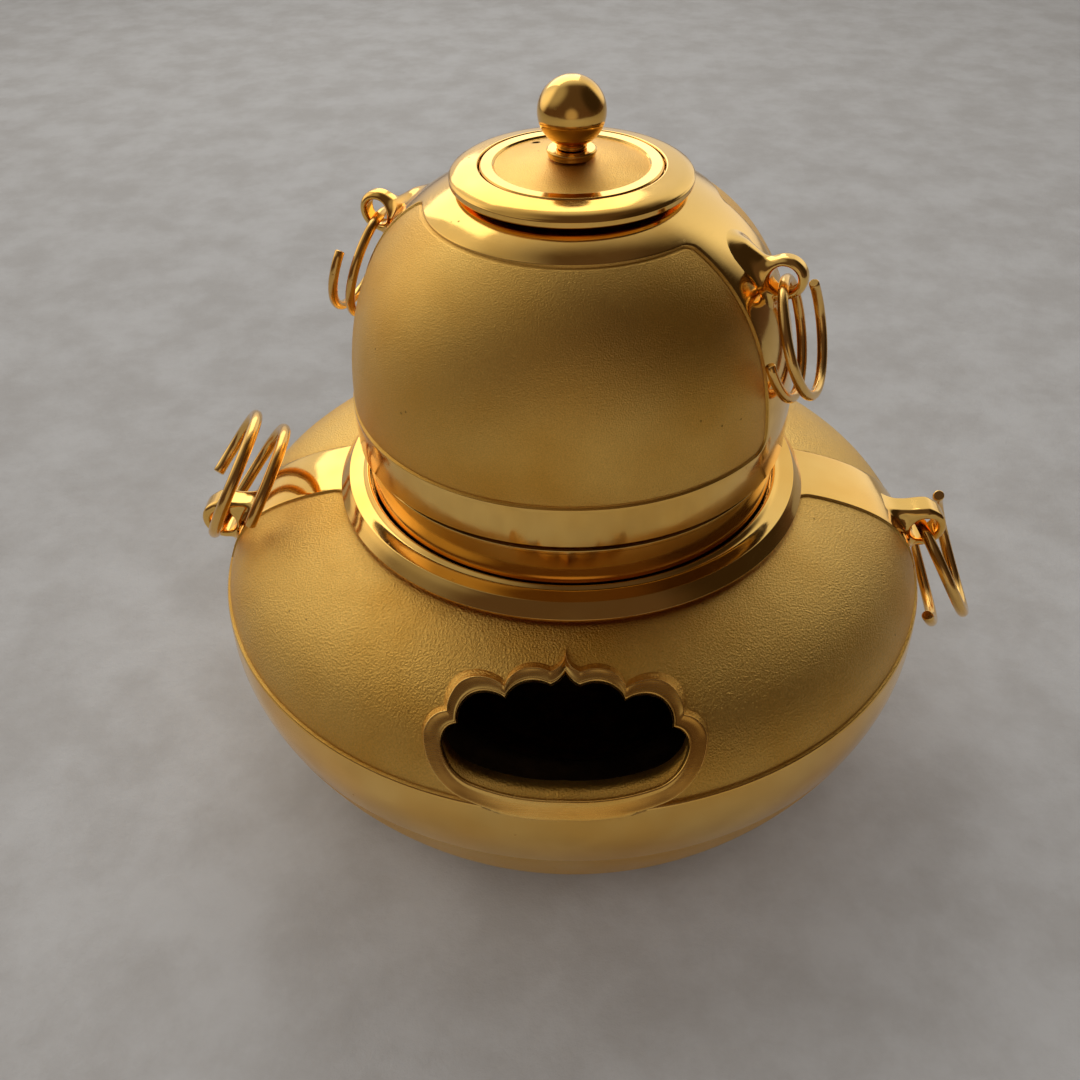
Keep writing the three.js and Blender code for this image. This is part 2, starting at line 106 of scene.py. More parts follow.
def meridian(node):
    """The (radius, height) outline of a turned CAD node, anticlockwise, and whether it is a loop."""
    points, index = cad_points(node)
    flat = points[:, :2] - middle(node)
    radius = np.hypot(flat[:, 0], flat[:, 1])
    angle = np.degrees(np.arctan2(flat[:, 1], flat[:, 0]))
    away = np.where(radius < 1, 999, np.abs((angle - CUT_NEAR + 180) % 360 - 180))
    off = np.abs((angle - angle[np.argmin(away)] + 180) % 360 - 180)
    kept = (radius < 0.05) | (np.radians(off) * radius < 0.04)
    links = {}
    for edge in frame["nodes"][node].data.edges:
        a, b = (index[v] for v in edge.vertices)
        if a != b and kept[a] and kept[b]:
            links.setdefault(a, set()).add(b)
            links.setdefault(b, set()).add(a)
    ends = [i for i, others in links.items() if len(others) == 1]
    closed = not ends
    start = min(ends or links, key=lambda i: (points[i][2], -radius[i]))
    path = [start]
    while True:
        onward = [i for i in links[path[-1]] if i not in path]
        if not onward:
            break
        path.append(onward[0])
    outline = [np.array([radius[i], points[i][2]]) for i in path]
    area = sum(a[0] * b[1] - b[0] * a[1] for a, b in zip(outline, outline[1:] + outline[:1]))
    if area < 0:
        outline.reverse()
    return outline, closed


# ---------- Curves ----------
def unit(v):
    return v / np.linalg.norm(v)


def smooth_curve(points, per_span=12):
    """A cubic B-spline that starts and ends on the first and last points and keeps by the others."""
    p = [2 * points[0] - points[1], *points, 2 * points[-1] - points[-2]]
    curve = []
    for a, b, c, d in zip(p, p[1:], p[2:], p[3:]):
        for t in np.arange(per_span) / per_span:
            curve.append((
                (1 - t) ** 3 * a + (3 * t ** 3 - 6 * t ** 2 + 4) * b
                + (-3 * t ** 3 + 3 * t ** 2 + 3 * t + 1) * c + t ** 3 * d
            ) / 6)
    curve.append(points[-1])
    return curve


def through_curve(points, per_span=5):
    """A Catmull-Rom curve through the points."""
    p = [2 * points[0] - points[1], *points, 2 * points[-1] - points[-2]]
    curve = []
    for a, b, c, d in zip(p, p[1:], p[2:], p[3:]):
        for t in np.arange(per_span) / per_span:
            curve.append(0.5 * (
                2 * b + (c - a) * t + (2 * a - 5 * b + 4 * c - d) * t ** 2
                + (3 * b - a - 3 * c + d) * t ** 3
            ))
    curve.append(points[-1])
    return curve


SUPPORT = 0.05


def corner_arc(before, corner, after, fillet, sharpest):
    """Points of a fillet at a corner with a support point on each side, or None at a soft bend."""
    back, on = before - corner, after - corner
    room = 0.4 * min(np.linalg.norm(back), np.linalg.norm(on))
    back, on = unit(back), unit(on)
    half = math.acos(max(-1.0, min(1.0, float(back @ on)))) / 2
    if math.pi - 2 * half < math.radians(sharpest):
        return None
    reach = min(fillet / math.tan(half), room)
    radius = reach * math.tan(half)
    centre = corner + unit(back + on) * radius / math.sin(half)
    first, last = corner + back * reach - centre, corner + on * reach - centre
    start = math.atan2(first[1], first[0])
    sweep = (math.atan2(last[1], last[0]) - start + math.pi) % (2 * math.pi) - math.pi
    arc = [
        centre + radius * np.array([math.cos(start + sweep * k / 4), math.sin(start + sweep * k / 4)])
        for k in range(5)
    ]
    edge = min(SUPPORT, room / 4)
    return [corner + back * (reach + edge), *arc, corner + on * (reach + edge)]


def rounded(outline, closed, fillet, sharpest=28):
    """An outline with its corners rounded and curves run through its bends under sharpest degrees."""
    count = len(outline)
    hard, soft = True, False
    marked = []
    for i, point in enumerate(outline):
        arc = None
        if closed or 0 < i < count - 1:
            arc = corner_arc(outline[i - 1], point, outline[(i + 1) % count], fillet, sharpest)
        elif not closed:
            arc = [point]
        marked += [(p, hard) for p in arc] if arc else [(point, soft)]
    if closed:
        first = next(i for i, (_, kind) in enumerate(marked) if kind)
        marked = marked[first:] + marked[:first + 1]
    result, run = [], [marked[0][0]]
    for point, kind in marked[1:]:
        run.append(point)
        if kind:
            result += through_curve(run)[:-1] if len(run) > 2 else run[:-1]
            run = [point]
    if not closed:
        result.append(marked[-1][0])
    return result


# ---------- Meshes ----------
def make(name, points, faces, materials, face_materials=None):
    mesh = bpy.data.meshes.new(name)
    mesh.from_pydata((np.array(points, float) * MM).tolist(), [], faces)
    for material in materials:
        mesh.materials.append(material)
    if face_materials is not None:
        mesh.polygons.foreach_set("material_index", np.array(face_materials, np.int32))
    mesh.shade_smooth()
    obj = bpy.data.objects.new(name, mesh)
    bpy.context.scene.collection.objects.link(obj)
    return obj


def stand_for(obj, node):
    """obj takes the place and the body of a CAD node."""
    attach(obj, BODY_OF[node])
    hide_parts(node)
    return obj


def turn(points, closed, centre, segments):
    """Vertices and faces of an anticlockwise (radius, height) outline turned about a vertical axis."""
    vertices, rings = [], []
    angles = 2 * np.pi * np.arange(segments) / segments
    for radius, height in points:
        if radius < 0.01:
            rings.append([len(vertices)] * segments)
            vertices.append((centre[0], centre[1], height))
        else:
            rings.append(list(range(len(vertices), len(vertices) + segments)))
            for a in angles:
                x, y = centre[0] + radius * math.cos(a), centre[1] + radius * math.sin(a)
                vertices.append((x, y, height))
    faces = []
    pairs = list(zip(rings, rings[1:])) + ([(rings[-1], rings[0])] if closed else [])
    for low, high in pairs:
        for j in range(segments):
            k = (j + 1) % segments
            faces.append(list(dict.fromkeys([low[j], low[k], high[k], high[j]])))
    return vertices, faces


def turned_piece(node, material, fillet=0.2, segments=192, matt=None, reshape=None, sharpest=28):
    """Stands for a turned CAD node. matt gives a second material and the test for its faces, and
    reshape changes the outline, whose points are radius and height."""
    outline, closed = meridian(node)
    if reshape:
        outline = reshape(outline)
    centre = middle(node)
    vertices, faces = turn(rounded(outline, closed, fillet, sharpest), closed, centre, segments)
    materials, choice = [material], None
    if matt:
        materials.append(matt[0])
        spots = [np.mean([vertices[i] for i in face], axis=0) for face in faces]
        choice = [int(matt[1](math.hypot(*(p[:2] - centre)), p[2])) for p in spots]
    obj = make(f"{node}_finish", vertices, faces, materials, choice)
    return stand_for(obj, node)


# ---------- Materials ----------
def add_node(tree, kind, inputs=None, **settings):
    node = tree.nodes.new(kind)
    for key, value in settings.items():
        setattr(node, key, value)
    for key, value in (inputs or {}).items():
        if isinstance(value, bpy.types.NodeSocket):
            tree.links.new(value, node.inputs[key])
        else:
            node.inputs[key].default_value = value
    return node


def noise(tree, place, scale, detail=3.0, roughness=0.55):
    inputs = {"Vector": place, "Scale": scale, "Detail": detail, "Roughness": roughness}
    return add_node(tree, "ShaderNodeTexNoise", inputs).outputs["Fac"]


def ramp(tree, value, low, high, to_low=0.0, to_high=1.0):
    inputs = {"Value": value, "From Min": low, "From Max": high, "To Min": to_low, "To Max": to_high}
    return add_node(tree, "ShaderNodeMapRange", inputs, interpolation_type="SMOOTHSTEP").outputs["Result"]


def blend_colour(tree, share, a, b, mode="MIX"):
    node = add_node(tree, "ShaderNodeMix", data_type="RGBA", blend_type=mode)
    for socket, value in ((node.inputs[0], share), (node.inputs[6], a), (node.inputs[7], b)):
        if isinstance(value, bpy.types.NodeSocket):
            tree.links.new(value, socket)
        else:
            socket.default_value = value
    return node.outputs[2]


def bump(tree, height, distance, strength=1.0, normal=None):
    inputs = {"Height": height, "Distance": distance * MM, "Strength": strength}
    if normal is not None:
        inputs["Normal"] = normal
    return add_node(tree, "ShaderNodeBump", inputs).outputs["Normal"]


def colour(r, g, b):
    return (r, g, b, 1.0)


def start_material(name):
    """A new material's tree, its shader, and the place of a point in millimetres."""
    material = bpy.data.materials.new(name)
    material.use_nodes = True
    tree = material.node_tree
    shader = tree.nodes["Principled BSDF"]
    shader.inputs["Metallic"].default_value = 1.0
    where = add_node(tree, "ShaderNodeTexCoord").outputs["Object"]
    place = add_node(tree, "ShaderNodeVectorMath", {0: where, "Scale": 1 / MM}, operation="SCALE")
    return material, tree, shader, place.outputs["Vector"]


def specks(tree, place, scale, size):
    """1 in small round spots scattered through space, and 0 elsewhere."""
    spots = add_node(tree, "ShaderNodeTexVoronoi", {"Vector": place, "Scale": scale, "Randomness": 1.0})
    chosen = ramp(tree, noise(tree, place, scale * 0.35, 2.0), 0.56, 0.62)
    near = ramp(tree, spots.outputs["Distance"], size, size * 0.35)
    return add_node(tree, "ShaderNodeMath", {0: near, 1: chosen}, operation="MULTIPLY").outputs[0]


def gold_colour(tree, place, pale, deep, patch=0.045):
    """Gold that drifts between two tones and has small brown tarnish spots."""
    drift = ramp(tree, noise(tree, place, patch, 3.0), 0.35, 0.7)
    tone = blend_colour(tree, drift, pale, deep)
    spots = specks(tree, place, 0.4, 0.11)
    share = ramp(tree, spots, 0, 1, 0, 0.55)
    return blend_colour(tree, share, tone, TARNISH), spots


POLISHED_PALE, POLISHED_DEEP = colour(0.95, 0.60, 0.17), colour(0.88, 0.49, 0.10)
MATT_PALE, MATT_DEEP = colour(0.88, 0.54, 0.13), colour(0.80, 0.43, 0.07)
TARNISH = colour(0.22, 0.10, 0.025)


def polished_gold(name, roughness=(0.07, 0.17), pale=POLISHED_PALE, deep=POLISHED_DEEP):
    """Smooth gold with hairlines and faint waves; its roughness runs between two values."""
    material, tree, shader, place = start_material(name)
    tone, spots = gold_colour(tree, place, pale, deep)
    smear = noise(tree, place, 0.11, 4.0, 0.6)
    stretched = add_node(tree, "ShaderNodeMapping", {"Vector": place, "Scale": (0.5, 0.5, 6.0)})
    hairlines = noise(tree, stretched.outputs["Vector"], 1.1, 5.0, 0.7)
    wear = add_node(tree, "ShaderNodeMath", {0: smear, 1: hairlines}, operation="MULTIPLY").outputs[0]
    base = ramp(tree, wear, 0.12, 0.42, *roughness)
    shader.inputs["Roughness"].default_value = roughness[1]
    rough = add_node(tree, "ShaderNodeMath", {0: spots, 1: 0.35, 2: base}, operation="MULTIPLY_ADD")
    tree.links.new(tone, shader.inputs["Base Color"])
    shader.inputs["Base Color"].default_value = pale
    tree.links.new(rough.outputs[0], shader.inputs["Roughness"])
    waves = bump(tree, noise(tree, place, 0.16, 2.0), 0.05, 0.5)
    tree.links.new(bump(tree, hairlines, 0.0015, 0.6, waves), shader.inputs["Normal"])
    return material


def matt_gold(name, grain, depth, roughness, pale=MATT_PALE, deep=MATT_DEEP):
    """Cast, blasted gold: grain is its size and depth its height, both in millimetres."""
    material, tree, shader, place = start_material(name)
    tone, spots = gold_colour(tree, place, pale, deep, 0.03)
    cells = add_node(tree, "ShaderNodeTexVoronoi", {
        "Vector": place, "Scale": 0.8 / grain, "Smoothness": 0.25, "Randomness": 1.0,
    }, feature="SMOOTH_F1").outputs["Distance"]
    fine = noise(tree, place, 1.0 / grain, 4.0, 0.7)
    height = add_node(tree, "ShaderNodeMath", {0: cells, 1: 0.45, 2: fine}, operation="MULTIPLY_ADD")
    # Painted shade and painted highlight: the grain's hollows are painted darker and its tops a little
    # lighter, following the noise that also raises the bump.
    grain_shade = ramp(tree, fine, 0.3, 0.7, 0.86, 1.06)
    tone = blend_colour(tree, 1.0, tone, grain_shade, "MULTIPLY")
    tree.links.new(tone, shader.inputs["Base Color"])
    shader.inputs["Base Color"].default_value = pale
    shader.inputs["Roughness"].default_value = roughness
    cloud = ramp(tree, noise(tree, place, 0.12, 3.0), 0.3, 0.7, roughness - 0.04, roughness + 0.05)
    rough = add_node(tree, "ShaderNodeMath", {0: spots, 1: 0.2, 2: cloud}, operation="MULTIPLY_ADD")
    tree.links.new(rough.outputs[0], shader.inputs["Roughness"])
    tree.links.new(bump(tree, height.outputs[0], depth), shader.inputs["Normal"])
    return material


def plain_metal(name, pale, deep, roughness, grain=0.6, depth=0.01):
    """Metal that drifts between two tones; grain and depth are in millimetres."""
    material, tree, shader, place = start_material(name)
    drift = ramp(tree, noise(tree, place, 0.25, 4.0), 0.35, 0.65)
    tree.links.new(blend_colour(tree, drift, pale, deep), shader.inputs["Base Color"])
    shader.inputs["Base Color"].default_value = pale
    fine = noise(tree, place, 1 / grain, 4.0)
    rough = ramp(tree, fine, 0.3, 0.7, roughness - 0.08, roughness + 0.1)
    tree.links.new(rough, shader.inputs["Roughness"])
    tree.links.new(bump(tree, fine, depth), shader.inputs["Normal"])
    return material


def sooty_cast(name):
    """The unpolished inside of the casting, darkened by smoke."""
    material, tree, shader, place = start_material(name)
    soot = ramp(tree, noise(tree, place, 0.12, 4.0), 0.3, 0.7)
    tree.links.new(blend_colour(tree, soot, colour(0.16, 0.08, 0.03), colour(0.05, 0.025, 0.012)),
                   shader.inputs["Base Color"])
    shader.inputs["Metallic"].default_value = 0.6
    shader.inputs["Roughness"].default_value = 0.75
    tree.links.new(bump(tree, noise(tree, place, 1.2, 4.0), 0.15), shader.inputs["Normal"])
    return material


POLISHED = polished_gold("polished_gold")
BAND = polished_gold("brushed_gold", (0.13, 0.26))
BORDER_GOLD = polished_gold("border_gold", (0.20, 0.32))
WIRE = polished_gold("wire_gold", (0.12, 0.24), colour(0.90, 0.56, 0.17), colour(0.82, 0.45, 0.11))
COARSE = matt_gold("coarse_matt_gold", 0.28, 0.14, 0.34)
FINE = matt_gold("fine_matt_gold", 0.19, 0.065, 0.38)
SOOT = sooty_cast("sooty_cast")
COPPER = plain_metal("sooty_copper", colour(0.35, 0.17, 0.09), colour(0.09, 0.05, 0.035), 0.5, 1.5, 0.05)
BRASS = plain_metal("raw_brass", colour(0.62, 0.44, 0.2), colour(0.45, 0.3, 0.12), 0.32)


# ---------- Shells with matt panels ----------
# A panel's edge, in millimetres inwards from it and down from the skin: a raised polished rim, a
# narrow groove, then the matt ground, whose depth is the panel's own.
STEP_LANES = (-0.7, -0.16, -0.05, 0.05, 0.15, 0.27, 0.42, 0.9)
GROOVE = ((-0.16, 0.0), (-0.05, 0.02), (0.05, 0.36), (0.15, 0.42), (0.27, 0.36))
GROUND_FROM = 0.42


class Panel:
    """A sunken matt panel between two polished strips that hold the lugs. Distances are along the
    skin, from its lower edge; half is the strip's half width, measured straight across."""

    def __init__(self, half, low, high, low_corner, high_corner, depth):
        self.half, self.low, self.high = half, low, high
        self.low_corner, self.high_corner, self.depth = low_corner, high_corner, depth

    def strip(self, along):
        """The strip's half width at a height: it widens round the panel's corners."""
        width = self.half
        for gap, corner in ((along - self.low, self.low_corner), (self.high - along, self.high_corner)):
            left = corner - min(max(gap, 0.0), corner)
            width += corner - math.sqrt(max(corner ** 2 - left ** 2, 0.0))
        return width

    def inside(self, across, along):
        """How far inside the panel's edge a point lies; negative outside."""
        result = 1e9
        side = across - self.half
        for gap, corner in ((along - self.low, self.low_corner), (self.high - along, self.high_corner)):
            if side < corner and gap < corner:
                edge = corner - math.hypot(corner - side, corner - gap)
            else:
                edge = min(side, gap)
            result = min(result, edge)
        return result

    def sink(self, inside):
        steps = (*GROOVE, (GROUND_FROM, self.depth))
        return float(np.interp(inside, *zip(*steps)))


class Skin:
    """The outer curve of a turned shell, measured along itself from its lower end."""

    def __init__(self, points):
        self.points = np.array(points)
        steps = np.linalg.norm(np.diff(self.points, axis=0), axis=1)
        self.along = np.concatenate([[0], np.cumsum(steps)])
        self.length = self.along[-1]

    def at(self, along):
        return np.array([np.interp(along, self.along, self.points[:, k]) for k in (0, 1)])

    def outwards(self, along):
        ahead = self.at(min(along + 0.3, self.length)) - self.at(max(along - 0.3, 0))
        return unit(np.array([ahead[1], -ahead[0]]))

    def at_height(self, height):
        return float(np.interp(height, self.points[:, 1], self.along))


def quarter_lanes(strip_share, panel_share):
    """The lanes of a quarter turn: (kind, value) from the middle of a strip to the middle of a panel."""
    lanes = [("strip", t) for t in strip_share]
    lanes += [("step", t) for t in STEP_LANES]
    lanes += [("panel", t) for t in panel_share]
    return lanes


def lane_angle(lane, radius, strip):
    kind, value = lane
    if kind == "strip":
        return math.asin(value * (strip + STEP_LANES[0]) / radius)
    if kind == "step":
        return math.asin((strip + value) / radius)
    edge = math.asin((strip + STEP_LANES[-1]) / radius)
    return edge + value * (math.pi / 2 - edge)


def full_turn(quarter):
    """The angles of a whole turn from those of its first quarter."""
    q = np.array(quarter)
    return np.concatenate([
        q[:-1], (np.pi - q[::-1])[:-1], (np.pi + q)[:-1], (2 * np.pi - q[::-1])[:-1],
    ])


def row_places(length, step, edges):
    """Distances along a skin: evenly spaced, and close together about each edge."""
    places = set(np.linspace(0, length, int(length / step) + 1))
    for edge in edges:
        places = {p for p in places if abs(p - edge) > STEP_LANES[-1] + 0.1}
        places |= {edge + lane for lane in STEP_LANES if 0 <= edge + lane <= length}
    return sorted(places)


def panelled_shell(skin, rows, panel, base, inner, azimuth, lanes, finish):
    """Vertices, faces and face finishes of a shell: its base, its outer rows, then its inside."""
    vertices, finishes, rings = [], [], []
    quarter = [lane_angle(lane, 30.0, panel.half) for lane in lanes]
    count = len(full_turn(quarter))

    def plain_ring(radius, height, kind):
        if radius < 0.01:
            rings.append([len(vertices)] * count)
            vertices.append((0, 0, height))
            finishes.append(kind)
            return
        rings.append(list(range(len(vertices), len(vertices) + count)))
        for angle in full_turn(quarter) + azimuth:
            vertices.append((radius * math.cos(angle), radius * math.sin(angle), height))
            finishes.append(kind)

    for radius, height in base:
        plain_ring(radius, height, finish(-1, 0))
    for along in rows:
        radius, height = skin.at(along)
        outward = skin.outwards(along)
        strip = panel.strip(along)
        ring = []
        for angle in full_turn([lane_angle(lane, radius, strip) for lane in lanes]):
            inside = panel.inside(abs(math.sin(angle)) * radius, along)
            sink = panel.sink(inside)
            r, z = radius - outward[0] * sink, height - outward[1] * sink
            ring.append(len(vertices))
            vertices.append((r * math.cos(angle + azimuth), r * math.sin(angle + azimuth), z))
            finishes.append(finish(inside, along))
        rings.append(ring)
    for radius, height in inner:
        plain_ring(radius, height, "inner")
    faces, kinds = [], []
    pairs = list(zip(rings, rings[1:])) + ([] if len(base) else [(rings[-1], rings[0])])
    for low, high in pairs:
        for j in range(count):
            k = (j + 1) % count
            faces.append(list(dict.fromkeys([low[j], low[k], high[k], high[j]])))
            names = [finishes[i] for i in faces[-1]]
            kinds.append(max(sorted(set(names)), key=names.count))
    return vertices, faces, kinds


KETTLE_AZIMUTH = math.atan2(*reversed(JOINTS["kettle_ring_right_swing"]["pos_m"][:2]))
# The kettle's matt panel: heights above the table, the strip's half width, corners and depth.
KETTLE_PANEL_LOW, KETTLE_PANEL_HIGH = 72.2, 101.0
KETTLE_STRIP_HALF = 7.6
KETTLE_LOW_CORNER, KETTLE_HIGH_CORNER = 2.6, 1.3
KETTLE_PANEL_DEPTH = 0.22
KETTLE_ROW_STEP = 0.9
# Rows close to the shell's ends, which keep its edges crisp.
LOWER_EDGE_ROWS, UPPER_EDGE_ROW = (0.06, 0.16, 0.3), 0.1


def kettle_shell():
    outline, _ = meridian("kettle_shell")
    top = max(range(len(outline)), key=lambda i: outline[i][1])
    bottom = max(range(len(outline)), key=lambda i: (-outline[i][1], outline[i][0]))
    loop = outline[bottom:] + outline[:bottom]
    outer = loop[:(top - bottom) % len(outline) + 1]
    skin = Skin(smooth_curve(outer))
    low, high = (skin.at_height(TABLE + height) for height in (KETTLE_PANEL_LOW, KETTLE_PANEL_HIGH))
    panel = Panel(
        KETTLE_STRIP_HALF, low, high, KETTLE_LOW_CORNER, KETTLE_HIGH_CORNER, KETTLE_PANEL_DEPTH
    )
    across_strip = (*np.linspace(0, 0.8, 9), 0.87, 0.94)
    across_panel = (0.01, *np.linspace(0.03, 1, 46) ** 1.15)
    lanes = quarter_lanes(across_strip, across_panel)
    rows = row_places(skin.length, KETTLE_ROW_STEP, (low, high))
    rows = {*rows, *(low + np.arange(0.6, 3.0, 0.25)), *(high - np.arange(0.6, 1.6, 0.25))}
    rows = sorted({*rows, *LOWER_EDGE_ROWS, skin.length - UPPER_EDGE_ROW})
    inner = loop[len(outer):]

    def finish(inside, _):
        return "matt" if inside > 0 else "polished"

    vertices, faces, kinds = panelled_shell(skin, rows, panel, (), inner, KETTLE_AZIMUTH, lanes, finish)
    order = {"polished": 0, "matt": 1, "inner": 2}
    obj = make("kettle_shell_finish", vertices, faces, [POLISHED, FINE, SOOT], [order[k] for k in kinds])
    stand_for(obj, "kettle_shell")
    return skin


def brazier_skins():
    """The shoulder and the belly, whose curves meet at the seam's small step."""
    outline, _ = meridian("brazier_shell")
    widest = max(range(len(outline)), key=lambda i: outline[i][0])
    top = max(range(len(outline)), key=lambda i: outline[i][1])
    gaps = {i: np.linalg.norm(outline[i + 1] - outline[i]) for i in range(widest, top)}
    seam = min(gaps, key=gaps.get)
    belly = Skin(smooth_curve(outline[1:seam + 1]))
    shoulder = Skin(smooth_curve(outline[seam + 1:top + 1]))
    return shoulder, belly, outline[:1], outline[top + 1:]


SHOULDER, BELLY, BRAZIER_FOOT, BRAZIER_INSIDE = brazier_skins()

# Half of the window's outline and of its border's, unrolled on the shoulder as sideways distance and
# distance up from the seam. Each arc passes through three points, from the sill up to the tip.
WINDOW_ARCS = (
    ((0, 2.0), (7, 2.15), (12.6, 3.0)),
    ((12.6, 3.0), (15.8, 5.0), (16.95, 7.6)),
    ((16.95, 7.6), (16.3, 9.7), (14.75, 10.7)),
    ((14.75, 10.7), (13.3, 14.6), (8.1, 15.3)),
    ((8.1, 15.3), (5.2, 18.0), (2.0, 17.7)),
    ((2.0, 17.7), (0.9, 18.4), (0, 19.7)),
)
BORDER_ARCS = (
    ((0, -0.4), (7, -0.25), (13.2, 0.9)),
    ((13.2, 0.9), (17.7, 3.9), (19.1, 7.6)),
    ((19.1, 7.6), (18.4, 10.7), (16.3, 12.2)),
    ((16.3, 12.2), (13.9, 17.6), (8.1, 17.3)),
    ((8.1, 17.3), (5.6, 20.2), (2.1, 20.1)),
    ((2.1, 20.1), (0.75, 20.9), (0, 23.1)),
)


def arc_points(a, b, c, steps):
    """Points on the circle through three points, from the first up to but not including the last."""
    a, b, c = (np.array(p, float) for p in (a, b, c))
    rows = np.array([b - a, c - a]) * 2
    centre = np.linalg.solve(rows, [b @ b - a @ a, c @ c - a @ a])
    radius = np.linalg.norm(a - centre)
    start, half, end = (math.atan2(*reversed(p - centre)) for p in (a, b, c))
    sweep = (end - start) % (2 * math.pi)
    if (half - start) % (2 * math.pi) > sweep:
        sweep -= 2 * math.pi
    angles = start + sweep * np.arange(steps) / steps
    return [centre + radius * np.array([math.cos(t), math.sin(t)]) for t in angles]


def whole_outline(arcs, steps):
    right = [p for arc in arcs for p in arc_points(*arc, steps)]
    tip = np.array(arcs[-1][-1], float)
    left = [np.array([-x, y]) for x, y in right[:0:-1]]
    return [*right, tip, *left]


def on_shoulder(across, up, lift):
    """The point on the brazier's front at a place on the unrolled shoulder, lifted off the skin."""
    if up >= 0:
        place, outward = SHOULDER.at(up), SHOULDER.outwards(up)
    else:
        place, outward = BELLY.at(BELLY.length + up), SHOULDER.outwards(0)
    angle = across / place[0]
    radius, height = place + outward * lift
    return np.array([radius * math.sin(angle), -radius * math.cos(angle), height])


def window_cutter():
    """The window's cut runs level at the sill and slopes down inwards at the lobes."""
    outward, inward, steepest = 7, 13, math.radians(36)
    slope_from, slope_over = 2, 16
    outline = whole_outline(WINDOW_ARCS, 14)
    rings = []
    for distance in (-outward, inward):
        ring = []
        for across, up in outline:
            slope = min(max((up - slope_from) / slope_over, 0), 1) * steepest
            shift = np.array([0, math.cos(slope), -math.sin(slope)]) * distance
            ring.append(on_shoulder(across, up, 0) + shift)
        rings.append(ring)
    count = len(outline)
    faces = [[j, j + count, (j + 1) % count + count, (j + 1) % count] for j in range(count)]
    faces += [list(range(count)), list(range(2 * count - 1, count - 1, -1))]
    return make("window_cutter", rings[0] + rings[1], faces, [COARSE])


def cut(obj, cutter):
    """Cuts a mesh by another, which is then thrown away. The cut faces take the cutter's finish."""
    modifier = obj.modifiers.new("cut", "BOOLEAN")
    modifier.object = cutter
    modifier.operation = "DIFFERENCE"
    modifier.solver = "EXACT"
    modifier.material_mode = "TRANSFER"
    graph = bpy.context.evaluated_depsgraph_get()
    obj.data = bpy.data.meshes.new_from_object(obj.evaluated_get(graph))
    obj.modifiers.clear()
    bpy.data.objects.remove(cutter)


# The brazier's matt panel runs from the seam up to a radius; below a height the belly is matt.
PANEL_TOP_RADIUS = 36.4
PANEL_ABOVE_SEAM = 0.12
BRAZIER_STRIP_HALF = 6.2
BRAZIER_LOW_CORNER, BRAZIER_HIGH_CORNER = 0.05, 2.6
BRAZIER_PANEL_DEPTH = 0.26
BRAZIER_ROW_STEP = 1.1
BELLY_MATT_TOP = 28.5


def brazier_shell():
    join = BELLY.length
    whole = Skin([*BELLY.points, *SHOULDER.points])
    seam = join + np.linalg.norm(SHOULDER.points[0] - BELLY.points[-1])
    low = seam + PANEL_ABOVE_SEAM
    high = seam + float(np.interp(-PANEL_TOP_RADIUS, -SHOULDER.points[:, 0], SHOULDER.along))
    panel = Panel(
        BRAZIER_STRIP_HALF, low, high, BRAZIER_LOW_CORNER, BRAZIER_HIGH_CORNER, BRAZIER_PANEL_DEPTH
    )
    lanes = quarter_lanes((0, 0.25, 0.5, 0.75, 0.9), (0.01, *np.linspace(0.03, 1, 58) ** 1.1))
    rows = {*row_places(whole.length, BRAZIER_ROW_STEP, (low, high)), join, join - 0.08, seam}
    rows |= set(high - np.arange(0.7, 2.8, 0.3))
    matt_below = whole.at_height(TABLE + BELLY_MATT_TOP)

    def finish(inside, along):
        if along < matt_below:
            return "fine"
        if inside > 0:
            return "matt"
        return "band" if along <= seam else "polished"

    vertices, faces, kinds = panelled_shell(
        whole, sorted(rows), panel, BRAZIER_FOOT, BRAZIER_INSIDE, 0.0, lanes, finish
    )
    order = {"polished": 0, "matt": 1, "band": 2, "fine": 3, "inner": 4}
    materials = [POLISHED, COARSE, BAND, FINE, SOOT]
    obj = make("brazier_shell_finish", vertices, faces, materials, [order[k] for k in kinds])
    cut(obj, window_cutter())
    obj.data.shade_smooth()
    return stand_for(obj, "brazier_shell")


# The border's section, from inside the window outwards. A share from 0 to 1 runs from the window's
# edge to the crest, and from 1 to 2 runs down the crest's far side. Then extra width and lift.
BORDER_SECTION = (
    (0, -0.05, -0.6), (0, -0.08, 0.08), (0, -0.04, 0.3), (0, 0.05, 0.42), (0, 0.18, 0.46), (0, 0.3, 0.42),
    (0.3, 0, 0.44), (0.5, 0, 0.5), (0.7, 0, 0.62), (0.86, 0, 0.76), (0.95, 0, 0.84), (1, 0, 0.86),
    (1.02, 0.08, 0.8), (1.1, 0.14, 0.66), (1.35, 0.2, 0.42), (1.7, 0.3, 0.2), (2, 0.42, 0.03),
    (2, 0.6, -0.3),
)
BORDER_MATT_FROM = 12
# The crest stands nearer the window and higher at the top lobes than at the sill.
LOBES_FROM, LOBES_FULL = 8.5, 15.0
CREST_AT_LOBES = 0.6
LIFT_AT_SILL, LIFT_AT_LOBES = 0.85, 1.25


